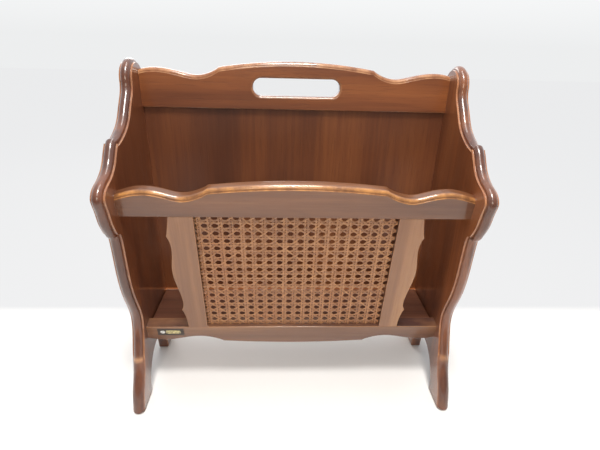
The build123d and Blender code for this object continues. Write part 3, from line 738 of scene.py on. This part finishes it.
def straight_bar(name, low, high, ease):
    """A sawn bar along x with every long arris rounded by ease: the rounded-rectangle section in
    (y, z), drawn in a little at the first and last ring to ease the ends."""
    t = np.linspace(0, math.pi / 2, 6)
    corner = ease * np.stack([np.cos(t), np.sin(t)], axis=1)
    half = np.array([(high[1] - low[1]) / 2, (high[2] - low[2]) / 2])
    middle = np.array([(high[1] + low[1]) / 2, (high[2] + low[2]) / 2])
    signs = np.array([[1, 1], [-1, 1], [-1, -1], [1, -1]])
    order = np.stack([corner, corner[::-1], corner, corner[::-1]])
    ring = (signs[:, None] * (half - ease + order)).reshape(-1, 2)
    inset = np.array([END_EASE, 0, 0, END_EASE])
    x = np.array([low[0], low[0] + END_EASE, high[0] - END_EASE, high[0]])
    shrink = 1 - inset[:, None, None] / half
    section = middle + ring[None] * shrink
    grid = np.concatenate([np.broadcast_to(x[:, None, None], (4, len(ring), 1)), section], axis=2)
    arris = np.broadcast_to(0.35 * np.sin(2 * t), (4, 4, len(t))).reshape(4, -1)
    return skin(name, grid, {"arris": arris})


lower_rail = straight_bar("lower_back_rail", *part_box("back_bottom_rail"), LOWER_RAIL_EASE)
lower_rail.data.materials.append(polished_wood("lower_rail_mahogany", LENGTHWAYS, (0.6, 0.1, 0.8)))
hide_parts("back_bottom_rail")
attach(lower_rail, "root")

# Floor of the pocket: one stained and lacquered board that lies on two cleats. Each cleat is
# screwed to its side panel, and the board is screwed down to them.
# The board's colour is dark and greyish: its stain with painted shade of the pocket and a painted sheen.
BOARD_STAIN_SHADE_SHEEN = ((0.17, 0.066, 0.036), (0.115, 0.043, 0.024), (0.06, 0.022, 0.013))
board_wood = polished_wood("board_mahogany", LENGTHWAYS, (0.15, 0.75, 0.35), BOARD_STAIN_SHADE_SHEEN, coat_rough=0.08)
finish_frame_node("bottom_board", board_wood)
cleat_wood = polished_wood("cleat_mahogany", (math.pi / 2, 0, 0), (0.9, 0.4, 0.2), coat=0.2)
finish_frame_node("bottom_cleat_left", cleat_wood)
finish_frame_node("bottom_cleat_right", cleat_wood)

# Front frame: two shaped rails and two paler shaped stiles, dowelled together, leaning out at
# the top. Heights are measured up the frame's slope from the bottom of its opening.
FRAME_FOOT = np.array([0, -29, 105.2]) * MM
LEAN = math.radians(10.3)
FRAME_THICKNESS = 17 * MM
OPENING_HEIGHT = 181.5 * MM
UP_THE_FRAME = np.array([0, -math.sin(LEAN), math.cos(LEAN)])
THROUGH_THE_FRAME = np.array([0, math.cos(LEAN), math.sin(LEAN)])
TOP_RAIL_CROWN = 222.8 * MM
TOP_RAIL_SHOULDER = np.array([[101, 216.8], [113, 210.4], [131, 206.4], [152, 211.4], [176, 214.6],
                              [203, 208]]) * MM
LOW_RAIL_MIDDLE = -32.8 * MM
LOW_RAIL_SCALLOP = np.array([[99, -28.8], [109, -23.6], [131, -19], [169, -25.2], [203, -22.6]]) * MM
END_PAINTED_SHADE = 0.4


def on_the_frame(x, up, depth):
    """A point of the leaning frame from its place across, up the slope and through it."""
    spot = np.multiply.outer(up, UP_THE_FRAME) + np.multiply.outer(depth, THROUGH_THE_FRAME)
    spot[..., 0] = x
    return FRAME_FOOT + spot


def shaped_bar(low, high, low_path, high_path):
    """Rings of a bar whose section is carried along: at each station the low path stands on the
    low edge and the high path hangs from the high edge. Gives place, depth, arris and quirk."""
    up_path = low + low_path[:, 0][:, None]
    down_path = high - high_path[:, 0][:, None]
    place = np.concatenate([down_path, up_path[::-1]]).T
    ring = np.concatenate([high_path, low_path[::-1]])
    return place, np.broadcast_to(ring[:, 1], place.shape), ring[:, 2], ring[:, 3]


def frame_rail(name, stations, low, high, low_path, high_path):
    """A rail of the front frame: stations across, edges measured up the slope. Towards its ends
    the rail is painted darker, as painted shade."""
    place, depth, arris, quirk = shaped_bar(low, high, low_path, high_path)
    x = np.broadcast_to(stations[:, None], place.shape)
    darkened = quirk[None] + END_PAINTED_SHADE * eased(np.abs(x), 90 * MM, 180 * MM)
    return skin(name, on_the_frame(x, place, depth), {"arris": arris, "quirk": darkened})


square_edge = rounded_both(0.8 * MM, FRAME_THICKNESS)
scallop_edge = rounded_both(1.6 * MM, FRAME_THICKNESS)
bead_front = rounded_arris(4.8 * MM, 5.4 * MM, 1.2 * MM, 1.0)
bead_edge = over_the_edge(bead_front, rounded_arris(4.5 * MM, 4.5 * MM), FRAME_THICKNESS)


def with_painted_shade(edge, amount):
    """The same path with painted shade on its flat part."""
    dark = edge.copy()
    dark[edge[:, 0] == 0, 3] = amount
    return dark


# Painted shade on the edge faces beside the cane and on the rail top under it.
cane_side_edge = with_painted_shade(square_edge, 1.7)
shelf_edge = with_painted_shade(square_edge, 1.1)

CROWN_STAIN = ((0.27, 0.115, 0.048), (0.19, 0.075, 0.03), (0.1, 0.036, 0.015))
FOOT_RAIL_STAIN = ((0.34, 0.16, 0.072), (0.25, 0.11, 0.046), (0.13, 0.05, 0.022))
STILE_STAIN = ((0.42, 0.21, 0.09), (0.31, 0.14, 0.056), (0.18, 0.07, 0.026))
GOLDEN = (0.52, 0.235, 0.07)
top_line = crowned_edge(TOP_RAIL_CROWN, TOP_RAIL_SHOULDER)
top_rail = frame_rail("front_crown_rail", top_line[:, 0], np.full(len(top_line), OPENING_HEIGHT),
                      top_line[:, 1], cane_side_edge, bead_edge)
low_line = crowned_edge(-LOW_RAIL_MIDDLE, LOW_RAIL_SCALLOP * (1, -1)) * (1, -1)
low_rail = frame_rail("front_foot_rail", low_line[:, 0], low_line[:, 1], np.zeros(len(low_line)),
                      scallop_edge, shelf_edge)
for rail, node, shift, stain in ((top_rail, "front_top_rail", (0.45, 0.3, 0.6), CROWN_STAIN),
                                 (low_rail, "front_bottom_rail", (0.1, 0.9, 0.25), FOOT_RAIL_STAIN)):
    wood_name = node + "_mahogany"
    rail_wood = polished_wood(wood_name, LENGTHWAYS, shift, stain, coat_rough=0.14, rubbed=GOLDEN)
    rail.data.materials.append(rail_wood)
    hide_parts(node)
    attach(rail, "root")

STILE_INNER = 119.5 * MM
STILE_HEAD = np.array([[148.7, 181.5], [151, 168], [154.3, 153.6]]) * MM
STILE_WAIST = np.array([[154.3, 153.6], [150.6, 135], [154.3, 103], [148.2, 55], [150.6, 32.6]]) * MM
STILE_FOOT = np.array([[150.6, 32.6], [147.2, 20], [145.8, 0]]) * MM


def stile(name, side):
    """A stile stands between the rails: inner edge straight, outer edge three fair curves that
    meet in two crisp points. Side is 1 on the right."""
    head = fair_curve(STILE_HEAD, (0.1, -1), (0.35, -1), 14)
    waist = fair_curve(STILE_WAIST, (-0.5, -1), (0.6, -1), 60)
    foot = fair_curve(STILE_FOOT, (-0.45, -1), (0, -1), 16)
    outer = np.concatenate([head, waist[1:], foot[1:]])
    inner = np.full(len(outer), STILE_INNER)
    place, depth, arris, quirk = shaped_bar(inner, outer[:, 0], cane_side_edge, scallop_edge)
    up = np.broadcast_to(outer[:, 1][:, None], place.shape)
    return skin(name, on_the_frame(side * place, up, depth), {"arris": arris, "quirk": quirk})


UP_THE_LEAN = (-LEAN, 0.0, 0.0)
for side_name, side, shift in (("left", -1, (0.8, 0.6, 0.15)), ("right", 1, (0.35, 0.22, 0.7))):
    upright = stile("shaped_stile_" + side_name, side)
    stain_name = "stile_mahogany_" + side_name
    stile_wood = polished_wood(stain_name, UP_THE_LEAN, shift, STILE_STAIN, coat_rough=0.14)
    upright.data.materials.append(stile_wood)
    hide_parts("front_stile_" + side_name)
    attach(upright, "root")

# Cane: split rattan woven in six ways. Pairs of strands run up and across, and single strands
# cross them both ways on the slant, leaving eight-sided holes. Four beads, glued and pinned
# behind, hold it in the frame's rebate.
CANE_PITCH = np.array([12.72, 11.15]) * MM
FIRST_PAIR = np.array([11.36, 171.3]) * MM
PAIR_HALF_GAP = 1.6 * MM
STRAND_HALF_WIDTH = 1.12 * MM
STRAND_THICKNESS = 0.5 * MM
CROSSING_LIFT = 0.26 * MM
SLANT_LIFT = 0.44 * MM
CANE_LOW = np.array([-125, -5.8]) * MM
CANE_HIGH = np.array([125, 187.2]) * MM
CANE_MIDDLE_DEPTH = 6.1 * MM
STEPS_PER_PITCH = 9
WAVER = 0.13 * MM

rng = np.random.default_rng(7)


def strands(name, start, end, lift, steps):
    """Ribbons from start to end (one row each, in places across and up the frame). Each ring is
    five points, flat behind and domed in front, raised by lift, which is a function of the
    place in pitches. Each strand wanders a little and carries its own shade."""
    run = end - start
    along = run / np.linalg.norm(run, axis=1)[:, None]
    aside = np.stack([-along[:, 1], along[:, 0]], axis=1)
    t = np.linspace(0, 1, steps)
    count = len(start)
    place = start[:, None] + run[:, None] * t[None, :, None]
    waves = t[None] * rng.uniform(2, 5, (count, 1)) + rng.uniform(0, 1, (count, 1))
    place = place + aside[:, None] * (WAVER * np.sin(2 * np.pi * waves))[:, :, None]
    width = STRAND_HALF_WIDTH * rng.uniform(0.9, 1.06, (count, 1)) * np.ones((count, steps))
    across = np.array([-1, -0.62, 0, 0.62, 1])
    dome = np.array([0, 0.78, 1.0, 0.78, 0]) * STRAND_THICKNESS
    spot = place[:, :, None] + aside[:, None, None] * (width[:, :, None, None] * across[:, None])
    pitches = (place - FIRST_PAIR) / CANE_PITCH
    height = lift(pitches[..., 0], pitches[..., 1])[:, :, None] + dome - STRAND_THICKNESS / 2
    points = on_the_frame(spot[..., 0], spot[..., 1], CANE_MIDDLE_DEPTH - height)
    ring = np.arange(5)
    base = (np.arange(count)[:, None, None] * steps + np.arange(steps - 1)[None, :, None]) * 5
    base = np.broadcast_to(base, (count, steps - 1, 5))
    following = (ring + 1) % 5
    corners = [base + ring, base + following, base + following + 5, base + ring + 5]
    quads = np.stack(corners, axis=-1).reshape(-1, 4)
    first = np.arange(count)[:, None] * steps * 5
    ends = np.concatenate([first + ring[::-1], first + (steps - 1) * 5 + ring])
    shade = rng.uniform(0, 1, (count, 1, 1))
    return solid(name, points, quads.tolist() + ends.tolist(), {"strand": shade}, 50.0)


def pair_lines(axis):
    """Ends of the paired strands that stand at places along one axis, left of and right of each
    pair's middle, with +1 and -1 for the strand that starts over and the one that starts under."""
    low = np.ceil((CANE_LOW[axis] - FIRST_PAIR[axis]) / CANE_PITCH[axis] + 0.15)
    high = np.floor((CANE_HIGH[axis] - FIRST_PAIR[axis]) / CANE_PITCH[axis] - 0.15)
    middle = FIRST_PAIR[axis] + np.arange(low, high + 1) * CANE_PITCH[axis]
    start = np.tile(CANE_LOW, (2 * len(middle), 1))
    end = np.tile(CANE_HIGH, (2 * len(middle), 1))
    start[:, axis] = np.stack([middle - PAIR_HALF_GAP, middle + PAIR_HALF_GAP], axis=1).ravel()
    end[:, axis] = start[:, axis]
    return start, end, np.tile([1.0, -1.0], len(middle))


def slant_lines(way):
    """Ends of the single strands a - way b = k + 1/2 in pitches, cut to the cane's rectangle by
    holding the crossing place between the limits of both axes."""
    low = (CANE_LOW - FIRST_PAIR) / CANE_PITCH
    high = (CANE_HIGH - FIRST_PAIR) / CANE_PITCH
    corners = np.array([low[0], high[0]])[:, None] - way * np.array([low[1], high[1]])[None]
    offset = np.arange(np.ceil(corners.min()), np.floor(corners.max())) + 0.5
    b_at_left = way * (low[0] - offset)
    b_at_right = way * (high[0] - offset)
    b_from = np.clip(b_at_left, low[1], high[1])
    b_to = np.clip(b_at_right, low[1], high[1])
    start = np.stack([offset + way * b_from, b_from], axis=1) * CANE_PITCH + FIRST_PAIR
    end = np.stack([offset + way * b_to, b_to], axis=1) * CANE_PITCH + FIRST_PAIR
    long_enough = np.linalg.norm(end - start, axis=1) > CANE_PITCH[0]
    return start[long_enough], end[long_enough]


up_start, up_end, up_sign = pair_lines(0)
across_start, across_end, across_sign = pair_lines(1)
rising_start, rising_end = slant_lines(1)
falling_start, falling_end = slant_lines(-1)


def weave_up(_, b):
    """Over one of each crossing pair and under the other: a rounded square wave, which is
    tanh(2.2 sin(turns)), up the frame."""
    return CROSSING_LIFT * up_sign[:, None] * np.tanh(2.2 * np.sin(2 * np.pi * b))


def weave_across(a, _):
    """The same wave across, the other way about, so that it passes under what is over."""
    return -CROSSING_LIFT * across_sign[:, None] * np.tanh(2.2 * np.sin(2 * np.pi * a))


def weave_rising(a, _):
    """Over the upright pairs, under the crosswise ones."""
    return SLANT_LIFT * np.cos(2 * np.pi * a)


def weave_falling(a, _):
    """Under the upright pairs, over the crosswise ones."""
    return -SLANT_LIFT * np.cos(2 * np.pi * a)


cane_finish, cane_tree, cane_shader, cane_place = new_finish("lacquered_cane")
strand_mark = cane_tree.nodes.new("ShaderNodeAttribute")
strand_mark.attribute_name = "strand"
mottle = noise(cane_tree, cane_place, (120, 120, 120), 3.0, 0.6)
patch = noise(cane_tree, cane_place, (16, 16, 16), 3.0, 0.5)
own_shade = combine(cane_tree, "MULTIPLY", strand_mark.outputs["Fac"], 0.4)
shade = combine(cane_tree, "ADD", own_shade, combine(cane_tree, "MULTIPLY", mottle, 0.6))
CANE_DARK = (0.2, 0.072, 0.023)
CANE_PALE = (0.44, 0.21, 0.085)
CANE_STAIN = (0.3, 0.1, 0.03)
cane_colour = blend_colour(cane_tree, span(cane_tree, shade, 0.2, 0.8), CANE_DARK, CANE_PALE)
cane_colour = blend_colour(cane_tree, span(cane_tree, patch, 0.52, 0.7, 0, 0.35), cane_colour, CANE_STAIN)
paint(cane_tree, cane_shader, cane_colour, span(cane_tree, mottle, 0.3, 0.7, 0.34, 0.5))
fibres = noise(cane_tree, cane_place, (900, 900, 900), 2.0)
raise_surface(cane_tree, cane_shader, fibres, 0.4, 0.2 * MM)
cane_shader.inputs["Coat Weight"].default_value = 0.4
cane_shader.inputs["Coat Roughness"].default_value = 0.2

for name, start, end, lift, pitch in (
    ("cane_uprights", up_start, up_end, weave_up, CANE_PITCH[1]),
    ("cane_crosswise", across_start, across_end, weave_across, CANE_PITCH[0]),
    ("cane_rising_slants", rising_start, rising_end, weave_rising, CANE_PITCH.mean()),
    ("cane_falling_slants", falling_start, falling_end, weave_falling, CANE_PITCH.mean()),
):
    longest = np.linalg.norm(end - start, axis=1).max()
    ribbon = strands(name, start, end, lift, int(longest / pitch * STEPS_PER_PITCH) + 1)
    ribbon.data.materials.append(cane_finish)
    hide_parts("cane_panel")
    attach(ribbon, "root")

bead_wood = polished_wood("bead_mahogany", LENGTHWAYS, (0.5, 0.5, 0.1), coat=0.3)
for bead in ("cane_bead_top", "cane_bead_left", "cane_bead_right"):
    finish_frame_node(bead, bead_wood)
# The bottom bead is painted pale: a painted highlight that shows through the lowest row of holes.
PAINTED_HIGHLIGHT_WOOD = ((0.85, 0.68, 0.52), (0.75, 0.56, 0.4), (0.55, 0.36, 0.22))
painted_highlight_bead = polished_wood("bead_painted_highlight", LENGTHWAYS, (0.2, 0.6, 0.4), PAINTED_HIGHLIGHT_WOOD, coat_rough=0.2)
finish_frame_node("cane_bead_bottom", painted_highlight_bead)

# Label: a small blank sticker of dark foil on the lower front rail, with a plain gilt bar and a
# plain silvered disc, both rubbed. It carries no lettering.
LABEL_LOW, LABEL_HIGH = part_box("blank_label")
LABEL_CENTRE_Z = (LABEL_LOW.z + LABEL_HIGH.z) / 2
foil, foil_tree, foil_shader, foil_place = new_finish("worn_foil")
foil_axes = foil_tree.nodes.new("ShaderNodeSeparateXYZ")
foil_tree.links.new(foil_place, foil_axes.inputs["Vector"])


def printed_patch(centre_x, half_width, half_height, round_corner):
    """1 inside a rounded patch: the superellipse |x/a|^n + |z/b|^n < 1, n being round_corner."""
    total = None
    for axis, centre, half in (("X", centre_x, half_width), ("Z", LABEL_CENTRE_Z, half_height)):
        offset = combine(foil_tree, "SUBTRACT", foil_axes.outputs[axis], centre)
        away = combine(foil_tree, "ABSOLUTE", offset, 0.0)
        term = combine(foil_tree, "POWER", combine(foil_tree, "DIVIDE", away, half), round_corner)
        total = term if total is None else combine(foil_tree, "ADD", total, term)
    return span(foil_tree, total, 0.8, 1.2, 1.0, 0.0)


rubbed = span(foil_tree, noise(foil_tree, foil_place, (420, 420, 420), 4.0, 0.7), 0.4, 0.6, 1.0, 0.25)
bar = printed_patch(LABEL_LOW.x + 21.5 * MM, 10 * MM, 3.2 * MM, 6.0)
disc = printed_patch(LABEL_LOW.x + 7 * MM, 3.4 * MM, 2.8 * MM, 2.0)
gilt = combine(foil_tree, "MULTIPLY", bar, rubbed)
silvered = combine(foil_tree, "MULTIPLY", disc, rubbed)
foil_colour = blend_colour(foil_tree, gilt, (0.045, 0.03, 0.022), (0.72, 0.62, 0.3))
foil_colour = blend_colour(foil_tree, silvered, foil_colour, (0.8, 0.8, 0.78))
paint(foil_tree, foil_shader, foil_colour, span(foil_tree, rubbed, 0.25, 1, 0.5, 0.3))
finish_frame_node("blank_label", foil)

# Fixings: beech dowels glued in the joints, steel screws through the cleats, and small plastic
# glides tapped into the feet.
BEECH = ((0.62, 0.42, 0.25), (0.52, 0.33, 0.18), (0.36, 0.2, 0.1))
dowel_wood = polished_wood("pale_beech", LENGTHWAYS, (0.3, 0.3, 0.3), BEECH, coat=0.0)
for dowels in ("handle_rail_dowels", "back_bottom_rail_dowels", "front_top_rail_dowels",
               "front_bottom_rail_dowels", "stile_dowels"):
    finish_frame_node(dowels, dowel_wood)

steel, steel_tree, steel_shader, steel_place = new_finish("screw_steel")
steel_shader.inputs["Metallic"].default_value = 1.0
tarnish = noise(steel_tree, steel_place, (500, 500, 500), 3.0)
steel_colour = blend_colour(steel_tree, tarnish, (0.3, 0.27, 0.22), (0.6, 0.58, 0.55))
paint(steel_tree, steel_shader, steel_colour, span(steel_tree, tarnish, 0.3, 0.7, 0.3, 0.55))
finish_frame_node("cleat_screws", steel)
finish_frame_node("board_screws", steel)

nylon, nylon_tree, nylon_shader, nylon_place = new_finish("brown_nylon")
scuff = noise(nylon_tree, nylon_place, (300, 300, 60), 4.0, 0.7)
nylon_colour = blend_colour(nylon_tree, scuff, (0.03, 0.018, 0.012), (0.1, 0.07, 0.05))
paint(nylon_tree, nylon_shader, nylon_colour, span(nylon_tree, scuff, 0.3, 0.7, 0.4, 0.7))
finish_frame_node("foot_glides", nylon)
